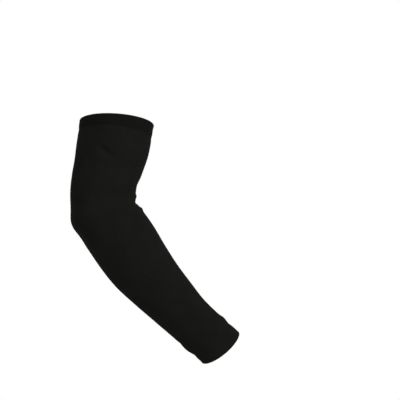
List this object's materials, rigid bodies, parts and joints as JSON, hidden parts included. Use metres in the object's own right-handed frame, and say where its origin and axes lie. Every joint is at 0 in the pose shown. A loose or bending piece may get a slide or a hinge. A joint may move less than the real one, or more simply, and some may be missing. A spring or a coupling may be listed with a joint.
{
  "type": "arm compression sleeve",
  "caption": "Seamless stretch-knit arm compression sleeve, held bent as worn from mid upper arm to wrist, open at both ends, with a turned hem and cuff.",
  "frame": {"origin": "centre of the upper opening, where the upper arm goes in", "axes": "+Z out of the upper opening along the upper arm; +X towards the crook of the elbow and the forearm; the arm bends in the XZ plane, so the flat sides face +Y and -Y"},
  "size_m": [0.2688, 0.1052, 0.3248],
  "materials": {
    "jersey": "black nylon and elastane jersey, matt with a faint sheen",
    "hem": "the same black jersey turned double and stitched"
  },
  "bodies": {
    "root": {"sleeve_tube": "jersey", "upper_arm_hem": "hem", "wrist_cuff": "hem"}
  },
  "joints": []
}
